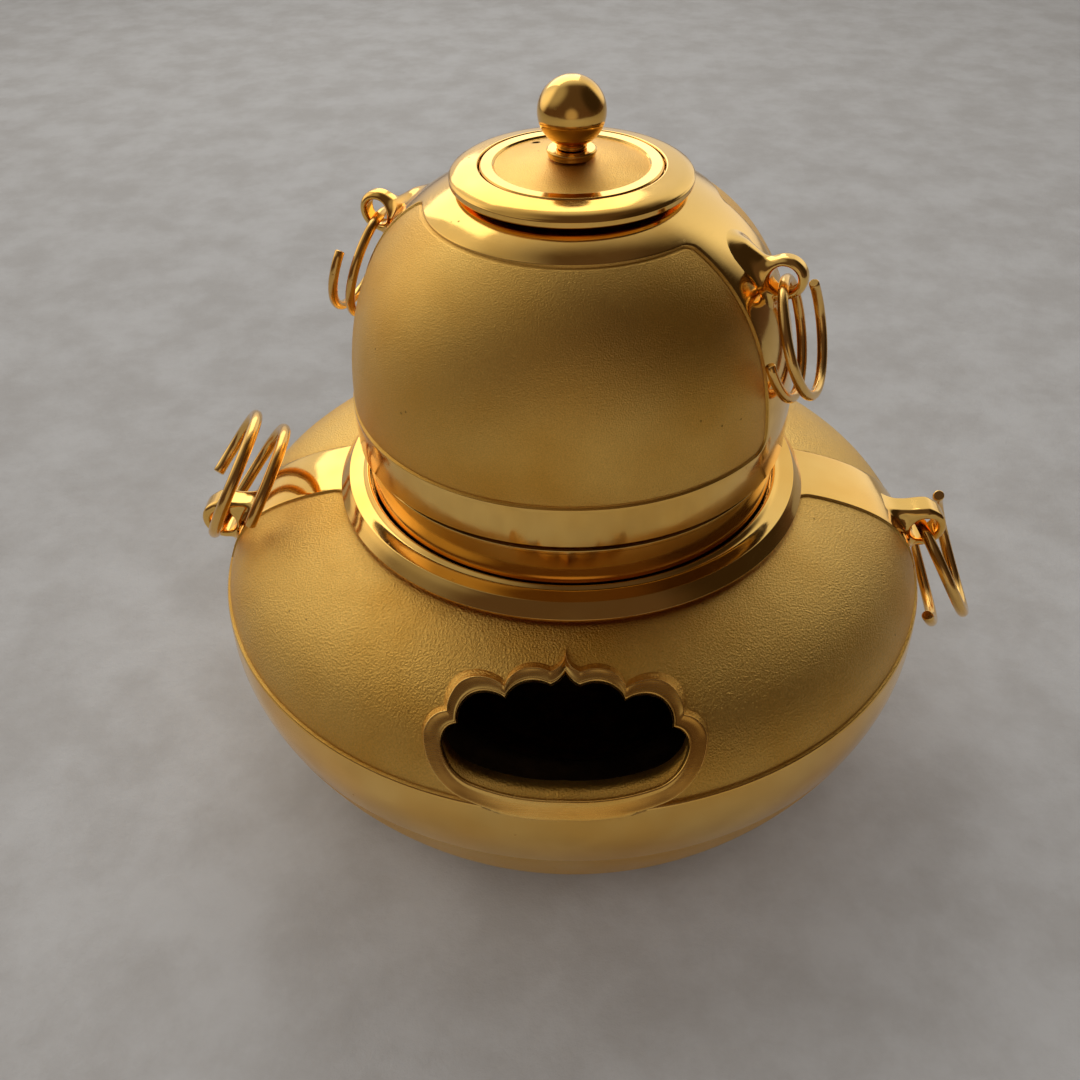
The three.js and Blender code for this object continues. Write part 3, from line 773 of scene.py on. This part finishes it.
def window_border():
    """A hollow moulding with a bead inside and a crest outside, which runs out into the matt ground."""
    steps = 16
    inner, outer = whole_outline(WINDOW_ARCS, steps), whole_outline(BORDER_ARCS, steps)
    vertices, faces, kinds = [], [], []
    for a, b in zip(inner, outer):
        across = unit(b - a)
        lobe = min(max((b[1] - LOBES_FROM) / (LOBES_FULL - LOBES_FROM), 0), 1)
        crest = 1 + (CREST_AT_LOBES - 1) * lobe
        raised = LIFT_AT_SILL + (LIFT_AT_LOBES - LIFT_AT_SILL) * lobe
        for share, extra, lift in BORDER_SECTION:
            reach = crest * min(share, 1) + (1 - crest) * max(share - 1, 0)
            place = a + (b - a) * reach + across * extra * (1 if share < 1 else 1.2 - 0.5 * lobe)
            vertices.append(on_shoulder(place[0], place[1], lift * raised if lift > 0 else lift))
    count, width = len(inner), len(BORDER_SECTION)
    for i in range(count):
        for j in range(width):
            a, b = i * width, (i + 1) % count * width
            k = (j + 1) % width
            faces.append([a + j, b + j, b + k, a + k])
            kinds.append(int(j == 0 or j >= BORDER_MATT_FROM))
    obj = make("window_border_finish", vertices, faces, [BORDER_GOLD, COARSE], kinds)
    return stand_for(obj, "window_border")


# ---------- Lugs ----------
def surface_net(field, low, step):
    """A quad mesh on the zero level of a sampled distance field, which is negative inside."""
    inside = field < 0
    shape = np.array(field.shape) - 1
    total, hits = np.zeros((*shape, 3)), np.zeros(shape)
    grid = np.stack(np.meshgrid(*(np.arange(n) for n in shape), indexing="ij"), -1).astype(float)
    corners = [(i, j, k) for i in (0, 1) for j in (0, 1) for k in (0, 1)]

    def part(array, corner):
        return array[tuple(slice(c, c + n) for c, n in zip(corner, shape))]

    for a in corners:
        for axis in range(3):
            if a[axis]:
                continue
            b = tuple(c + (i == axis) for i, c in enumerate(a))
            va, vb = part(field, a), part(field, b)
            crossed = part(inside, a) != part(inside, b)
            share = np.where(crossed, va / np.where(crossed, va - vb, 1), 0)
            offset = np.array(a, float) + share[..., None] * np.eye(3)[axis]
            total += np.where(crossed[..., None], grid + offset, 0)
            hits += crossed
    cells = hits > 0
    number = np.full(shape, -1)
    number[cells] = np.arange(cells.sum())
    vertices = total[cells] / hits[cells][:, None] * step + low
    faces = []
    for axis in range(3):
        u, v = (axis + 1) % 3, (axis + 2) % 3
        front = tuple(slice(0, n - (i == axis)) for i, n in enumerate(field.shape))
        back = tuple(slice(i == axis, n) for i, n in enumerate(field.shape))
        cells = np.argwhere(inside[front] != inside[back])
        fits = (cells[:, u] > 0) & (cells[:, v] > 0) & (cells[:, u] < shape[u]) & (cells[:, v] < shape[v])
        cells = cells[fits]
        rings = []
        for du, dv in ((1, 1), (0, 1), (0, 0), (1, 0)):
            corner = cells.copy()
            corner[:, u] -= du
            corner[:, v] -= dv
            rings.append(number[tuple(corner.T)])
        rings = np.array(rings).T
        outwards = inside[tuple(cells.T)]
        faces += rings[outwards].tolist() + rings[~outwards][:, ::-1].tolist()
    return vertices, faces


def soft_union(a, b, reach):
    h = np.clip(0.5 + 0.5 * (b - a) / reach, 0, 1)
    return b + (a - b) * h - reach * h * (1 - h)


def soft_cut(a, b, reach):
    """The part of a that lies outside b."""
    return -soft_union(-a, b, reach)


def skin_distance(x, y, z, skin):
    """Distance from a turned skin to each point of a grid, negative inside."""
    reach = np.hypot(x[:, :, 0], y[:, :, 0])
    radii = np.arange(reach.min() - 0.1, reach.max() + 0.2, 0.1)
    heights = z[0, 0]
    radius, height = np.meshgrid(radii, heights, indexing="ij")
    best, sign = np.full(radius.shape, 1e9), np.ones(radius.shape)
    for a, b in zip(skin.points, skin.points[1:]):
        along = b - a
        t = np.clip(((radius - a[0]) * along[0] + (height - a[1]) * along[1]) / (along @ along), 0, 1)
        dx, dz = radius - a[0] - along[0] * t, height - a[1] - along[1] * t
        distance = np.hypot(dx, dz)
        nearer = distance < best
        best = np.where(nearer, distance, best)
        sign = np.where(nearer, np.where(dx * along[1] - dz * along[0] > 0, 1, -1), sign)
    layers = [np.interp(reach, radii, layer) for layer in (best * sign).T]
    return np.stack(layers, axis=-1)


def round_box(x, y, z, half, edge):
    q = [np.abs(c) - h + edge for c, h in zip((x, y, z), half)]
    outside = np.sqrt(sum(np.maximum(c, 0) ** 2 for c in q))
    return outside + np.minimum(np.maximum(np.maximum(q[0], q[1]), q[2]), 0) - edge


def round_tube(x, y, z, radius, half, edge):
    """A solid disc about the Y axis with rounded rims."""
    q = [np.hypot(x, z) - radius + edge, np.abs(y) - half + edge]
    outside = np.sqrt(sum(np.maximum(c, 0) ** 2 for c in q))
    return outside + np.minimum(np.maximum(*q), 0) - edge


def cone_rod(x, y, z, start, end, start_radius, end_radius):
    """A tapering rod in the XZ plane."""
    along = np.subtract(end, start)
    t = np.clip(((x - start[0]) * along[0] + (z - start[1]) * along[1]) / (along @ along), 0, 1)
    dx, dz = x - start[0] - along[0] * t, z - start[1] - along[1] * t
    return np.sqrt(dx ** 2 + y ** 2 + dz ** 2) - (start_radius + (end_radius - start_radius) * t)


# A lug is sampled on a grid of this step, and its root ends at this distance from the eye's height.
LUG_SAMPLING = 0.16
LUG_ROOT = 6.0
# The grid's reach inwards from the eye, to each side, below and above it, and beyond its rim.
LUG_REACH_IN, LUG_REACH_SIDE, LUG_REACH_DOWN, LUG_REACH_UP, LUG_REACH_OUT = 11, 6.4, 6.5, 7, 0.5
STRAP_BLEND = 1.3
# How far the root starts below the shell's skin, and how deep it ends.
ROOT_TOP, ROOT_BOTTOM = 0.06, 0.5


def lug(node, joint, skin, strap, raised, outer, bore, width, flare, edge):
    """An eye on a strap that flares out of the shell. The eye is at the joint, or a little above."""
    pos = np.array(JOINTS[joint]["pos_m"]) / MM
    eye_radius, eye_height = math.hypot(*pos[:2]), pos[2] + raised
    azimuth = math.atan2(pos[1], pos[0])
    low = np.array([eye_radius - LUG_REACH_IN, -LUG_REACH_SIDE, eye_height - LUG_REACH_DOWN])
    high = np.array([eye_radius + outer + LUG_REACH_OUT, LUG_REACH_SIDE, eye_height + LUG_REACH_UP])
    axes = [np.arange(a, b, LUG_SAMPLING) for a, b in zip(low, high)]
    x, y, z = np.meshgrid(*axes, indexing="ij")
    ex, ez = x - eye_radius, z - eye_height
    eye = round_tube(ex, y, ez, outer, width / 2, edge)
    body = soft_union(eye, strap(ex, y, ez), STRAP_BLEND)
    shell = skin_distance(x, y, z, skin)
    field = soft_union(body, shell + ROOT_TOP, flare)
    field = soft_cut(field, np.hypot(ex, ez) - bore, 0.6 * edge)
    field = np.maximum(field, -(shell + ROOT_BOTTOM))
    root = np.hypot(y, z - eye_height) - LUG_ROOT
    field = np.maximum(field, root)
    vertices, faces = surface_net(field, low, LUG_SAMPLING)
    c, s = math.cos(azimuth), math.sin(azimuth)
    turned = np.array(vertices) @ np.array([[c, s, 0], [-s, c, 0], [0, 0, 1]])
    return stand_for(make(f"{node}_finish", turned, faces, [POLISHED]), node)


def kettle_strap(x, y, z):
    return cone_rod(x, y, z, start=(-6.5, 1.8), end=(-1.9, 0.1), start_radius=2.2, end_radius=1.5)


def brazier_strap(x, y, z):
    return round_box(x + 4.2, y, z - 0.6, half=(4.9, 2.1, 3.1), edge=0.7)


# ---------- Rings ----------
# The coil's radius and pitch; before and after are half turns either side of the eye; lean, roll and
# yaw are in degrees.
RING_SHAPES = {
    "brazier_ring_left": dict(
        coil=10.2, pitch=5.0, before=1.79, after=1.46, lean=211, roll=6.5, yaw=2.3
    ),
    "brazier_ring_right": dict(
        coil=10.2, pitch=5.4, before=1.46, after=1.72, lean=24, roll=9, yaw=1.3
    ),
    "kettle_ring_left": dict(
        coil=8.1, pitch=2.9, before=1.48, after=1.64, lean=18.6, roll=7, yaw=4.6
    ),
    "kettle_ring_right": dict(
        coil=8.1, pitch=2.9, before=1.48, after=1.74, lean=18.6, roll=-6.5, yaw=4.6
    ),
}
WIRE_RADIUS = {"brazier": 0.95, "kettle": 0.725}


def coil_wire(node):
    """Bent wire through an eye, with filed ends."""
    shape = RING_SHAPES[node]
    radius = WIRE_RADIUS[node.split("_")[0]]
    pos = Vector(JOINTS[f"{node}_swing"]["pos_m"]) / MM
    azimuth = math.atan2(pos.y, pos.x)
    lean, yaw, roll = (math.radians(shape[name]) for name in ("lean", "yaw", "roll"))
    turn_to = (
        Matrix.Rotation(azimuth, 3, "Z") @ Matrix.Rotation(-lean, 3, "Y")
        @ Matrix.Rotation(yaw, 3, "Z") @ Matrix.Rotation(roll, 3, "X")
    )
    steps, sides, file_cut = 150, 20, 0.16
    angles = np.linspace(-shape["before"], shape["after"], steps + 1) * math.pi
    coil, pitch = shape["coil"], shape["pitch"]
    line = [
        pos + turn_to @ Vector((pitch * a / 2 / math.pi, -coil * math.sin(a), -coil * (1 - math.cos(a))))
        for a in angles
    ]
    tangents = [(b - a).normalized() for a, b in zip([line[0], *line], [*line[1:], line[-1]])]
    first, last = (line[1] - line[0]).normalized(), (line[-1] - line[-2]).normalized()
    sections = [(line[0], first, radius - file_cut), (line[0] + first * file_cut, first, radius)]
    sections += [(p, t, radius) for p, t in zip(line[2:-2], tangents[2:-2])]
    sections += [(line[-1] - last * file_cut, last, radius), (line[-1], last, radius - file_cut)]
    vertices, side = [], first.orthogonal().normalized()
    for centre, tangent, size in sections:
        side = (side - tangent * side.dot(tangent)).normalized()
        other = tangent.cross(side)
        for k in range(sides):
            a = 2 * math.pi * k / sides
            vertices.append(centre + (side * math.cos(a) + other * math.sin(a)) * size)
    faces = []
    for i in range(len(sections) - 1):
        for j in range(sides):
            k = (j + 1) % sides
            a, b = i * sides, (i + 1) * sides
            faces.append([a + j, a + k, b + k, b + j])
    end = (len(sections) - 1) * sides
    faces += [list(range(sides - 1, -1, -1)), list(range(end, end + sides))]
    obj = make(f"{node}_finish", [tuple(v) for v in vertices], faces, [WIRE])
    for face in obj.data.polygons[-2:]:
        face.use_smooth = False
    return stand_for(obj, node)


# ---------- Turned pieces with finer outlines ----------
SKIRT_WIDENED, BEAD_HEIGHT = 0.28, 0.3


def beaded_skirt(outline):
    """The pan's outline with a wider skirt, and a groove and a bead below the kettle's band."""
    outer = max(p[0] for p in outline)
    top = max(p[1] for p in outline if abs(p[0] - outer) < 0.05)
    skirt = outer + SKIRT_WIDENED
    crest, groove = skirt + BEAD_HEIGHT, outer - BEAD_HEIGHT
    bead = [(skirt, -1.9), (crest, -1.7), (crest, -1.15), (skirt, -0.95), (groove, -0.9)]
    result = []
    for point in outline:
        if abs(point[0] - outer) > 0.05:
            result.append(point)
        elif abs(point[1] - top) > 0.05:
            result.append(np.array([skirt, point[1]]))
        else:
            result += [np.array([radius, top + down]) for radius, down in bead]
            result.append(np.array([groove, top]))
    return result


# The land starts and is deepest at these distances from the bore; the ridge lies off the lip.
LAND_EDGE_AT, LAND_HOLLOW_AT, LAND_HOLLOW_DEPTH = 0.35, 1.3, 0.42
RIDGE_SHIFT = (0.95, -0.12)


def faceted_ring(outline):
    """The mouth ring's outline with a hollowed inner land, a ridge and a rounded outer bevel."""
    bore = min(p[0] for p in outline if p[1] > max(q[1] for q in outline) - 1)
    top = max(p[1] for p in outline)
    lip = [p for p in outline if p[1] > top - 0.9 and p[0] > bore + 0.5]
    outermost = max(lip, key=lambda p: p[0])
    ridge = outermost + np.array(RIDGE_SHIFT)
    hollow = [bore + LAND_HOLLOW_AT, top - LAND_HOLLOW_DEPTH]
    land = [ridge, np.array(hollow), np.array([bore + LAND_EDGE_AT, top])]
    result = []
    for point in outline:
        if point is outermost:
            result += land
        elif not any(point is p for p in lip):
            result.append(point)
    return result


RIM_WIDTH, RIM_TUCK = 0.6, (-0.08, 0.35)


def thin_rim(outline):
    """The kettle lip's outline with its rim tucked in from below."""
    rim = max(p[0] for p in outline) - RIM_WIDTH
    rim_middle = np.mean([p[1] for p in outline if p[0] > rim])
    return [p + np.array(RIM_TUCK) if p[0] > rim and p[1] < rim_middle else p for p in outline]


# ---------- Lid ----------
def lid_plate():
    """The lid's plate, with the steam hole cut where the CAD plate has it."""
    matt_radius, edge_height, hole_reach = 10.75, 0.4, 3
    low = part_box("lid_plate")[0].z / MM

    def is_matt(radius, height):
        return radius < matt_radius and height > low + edge_height

    obj = turned_piece("lid_plate", POLISHED, 0.12, 192, (FINE, is_matt))
    points, _ = cad_points("lid_plate")
    radius = np.hypot(points[:, 0], points[:, 1])
    rim = points[(radius > 3) & (radius < 10) & (points[:, 2] < low + 0.1)]
    centre = (rim.min(0) + rim.max(0)) / 2
    size = (rim.max(0) - rim.min(0))[0] / 2
    below, above = centre[2] - hole_reach, centre[2] + hole_reach
    outline = [np.array(p) for p in ((0, below), (size, below), (size, above), (0, above))]
    vertices, faces = turn(outline, False, centre[:2], 32)
    cut(obj, make("steam_hole_cutter", vertices, faces, [SOOT]))
    obj.data.shade_smooth()
    return obj


def finish_nut(obj):
    """The CAD nuts are kept, and get brass and softened edges."""
    obj.data.materials.clear()
    obj.data.materials.append(BRASS)
    weld = obj.modifiers.new("weld", "WELD")
    weld.merge_threshold = 0.01 * MM
    bevel = obj.modifiers.new("bevel", "BEVEL")
    bevel.width = 0.12 * MM
    bevel.segments = 2


# ---------- Build ----------
KETTLE_SKIN = kettle_shell()
brazier_shell()
window_border()
turned_piece("brazier_mouth_ring", POLISHED, 0.14, 256, reshape=faceted_ring, sharpest=22)
turned_piece("kettle_pan", POLISHED, 0.12, 256, reshape=beaded_skirt)
turned_piece("kettle_mouth", POLISHED, 0.2, 192, reshape=thin_rim, sharpest=40)
turned_piece("ash_bowl", COPPER, 0.5, 192)
lid_plate()
turned_piece("lid_locating_ring", BRASS, 0.15, 128)
turned_piece("knob_collar", POLISHED, 0.1, 96)
turned_piece("knob_ball", POLISHED, 0.2, 96)
turned_piece("knob_washer", BRASS, 0.1, 64)
for foot in ("front_left", "front_right", "back"):
    turned_piece(f"foot_{foot}", POLISHED, 0.3, 64)
    turned_piece(f"foot_screw_{foot}", BRASS, 0.15, 48)


for side in ("left", "right"):
    lug(
        f"kettle_lug_{side}", f"kettle_ring_{side}_swing", skin=KETTLE_SKIN, strap=kettle_strap,
        raised=0.7, outer=3.1, bore=1.9, width=3.1, flare=2.2, edge=1.2,
    )
    lug(
        f"brazier_lug_{side}", f"brazier_ring_{side}_swing", skin=SHOULDER, strap=brazier_strap,
        raised={"left": 0.3, "right": 0.4}[side], outer=3.7, bore=2.25, width=4.2, flare=1.4, edge=0.75,
    )

for ring in RING_SHAPES:
    coil_wire(ring)

for node, obj in frame["nodes"].items():
    if "nut" in node:
        finish_nut(obj)


# ---------- Stage, light and camera ----------
def floor():
    size, thickness = 1.6, 0.002
    half = size / 2
    top = TABLE * MM
    square = ((-half, -half), (half, -half), (half, half), (-half, half))
    corners = [(x, y, z) for z in (top - thickness, top) for x, y in square]
    faces = [(0, 3, 2, 1), (4, 5, 6, 7), (0, 1, 5, 4), (1, 2, 6, 5), (2, 3, 7, 6), (3, 0, 4, 7)]
    mesh = bpy.data.meshes.new("floor")
    mesh.from_pydata(corners, [], faces)
    obj = bpy.data.objects.new("floor", mesh)
    bpy.context.scene.collection.objects.link(obj)
    material, tree, shader, place = start_material("felt")
    shader.inputs["Metallic"].default_value = 0.0
    shader.inputs["Roughness"].default_value = 0.9
    cloud = ramp(tree, noise(tree, place, 0.05, 5.0, 0.65), 0.3, 0.7)
    felt = blend_colour(tree, cloud, colour(0.50, 0.49, 0.48), colour(0.60, 0.60, 0.60))
    tree.links.new(felt, shader.inputs["Base Color"])
    tree.links.new(bump(tree, noise(tree, place, 0.35, 6.0, 0.7), 0.5, 0.4), shader.inputs["Normal"])
    mesh.materials.append(material)


PLAIN_BACKDROP = colour(0.60, 0.59, 0.57)


def world():
    """A soft grey room: windows behind and at the sides, and a dark figure behind the camera."""
    scene_world = bpy.data.worlds.new("room")
    bpy.context.scene.world = scene_world
    scene_world.use_nodes = True
    tree = scene_world.node_tree
    background = tree.nodes["Background"]
    where = add_node(tree, "ShaderNodeTexCoord").outputs["Generated"]

    def facing(direction, low, high):
        d = Vector(direction).normalized()
        dot = add_node(tree, "ShaderNodeVectorMath", {0: where, 1: tuple(d)}, operation="DOT_PRODUCT")
        return ramp(tree, dot.outputs["Value"], low, high)

    horizon, zenith = colour(0.085, 0.050, 0.036), colour(0.08, 0.055, 0.042)
    lit = blend_colour(tree, facing((0, 0, 1), -0.2, 0.9), horizon, zenith)
    regions = (
        ((0.86, 0.02, 0.50), 0.70, 0.93, colour(0.03, 0.02, 0.012)),
        ((-0.70, 0.00, 0.70), 0.75, 0.97, colour(0.36, 0.34, 0.31)),
        ((-0.80, 0.50, 0.36), 0.80, 0.98, colour(1.15, 1.08, 0.98)),
        ((0.50, 0.80, 0.30), 0.84, 0.97, colour(0.95, 0.93, 0.88)),
        ((-0.12, 0.83, 0.54), 0.64, 0.92, colour(0.78, 0.77, 0.75)),
        ((0.00, -0.99, 0.06), 0.90, 0.995, colour(0.42, 0.35, 0.27)),
    )
    for direction, low, high, light in regions:
        lit = blend_colour(tree, facing(direction, low, high), lit, light)
    seen = add_node(tree, "ShaderNodeLightPath").outputs["Is Camera Ray"]
    lit = blend_colour(tree, seen, lit, PLAIN_BACKDROP)
    tree.links.new(lit, background.inputs["Color"])
    background.inputs["Strength"].default_value = 1.0


def area_light(name, place, target, size, power, tint, in_reflections=True):
    data = bpy.data.lights.new(name, "AREA")
    data.size = size
    data.energy = power
    data.color = tint
    obj = bpy.data.objects.new(name, data)
    obj.location = place
    obj.visible_glossy = in_reflections
    obj.rotation_euler = (Vector(target) - Vector(place)).to_track_quat("-Z", "Y").to_euler()
    bpy.context.scene.collection.objects.link(obj)


def camera():
    """Looks down on the front. The roll is in degrees about the line of sight."""
    yaw, pitch, roll = math.radians(-2.656), math.radians(39.334), math.radians(-1.004)
    place = Vector((1.86, -152.43, 164.65 + TABLE))
    ahead = Vector((math.sin(yaw) * math.cos(pitch), math.cos(yaw) * math.cos(pitch), -math.sin(pitch)))
    right = ahead.cross(Vector((0, 0, 1))).normalized()
    up = right.cross(ahead)
    right, up = right * math.cos(roll) + up * math.sin(roll), up * math.cos(roll) - right * math.sin(roll)
    data = bpy.data.cameras.new("camera")
    data.lens, data.sensor_width = 37.92, 36
    data.clip_start = 0.005
    obj = bpy.data.objects.new("camera", data)
    obj.matrix_world = Matrix.Translation(place * MM) @ Matrix((right, up, -ahead)).transposed().to_4x4()
    bpy.context.scene.collection.objects.link(obj)
    bpy.context.scene.camera = obj


bpy.context.scene.view_settings.view_transform = "Standard"
floor()
world()
area_light(
    "window_light", place=(-0.12, 0.45, 0.42), target=(0, 0, 0.05),
    size=0.45, power=0.85, tint=(1.0, 0.98, 0.94),
)
area_light(
    "floor_fill", place=(0.05, -0.50, 0.55), target=(0, -0.2, 0),
    size=0.6, power=1.6, tint=(1.0, 0.99, 0.97), in_reflections=False,
)
camera()
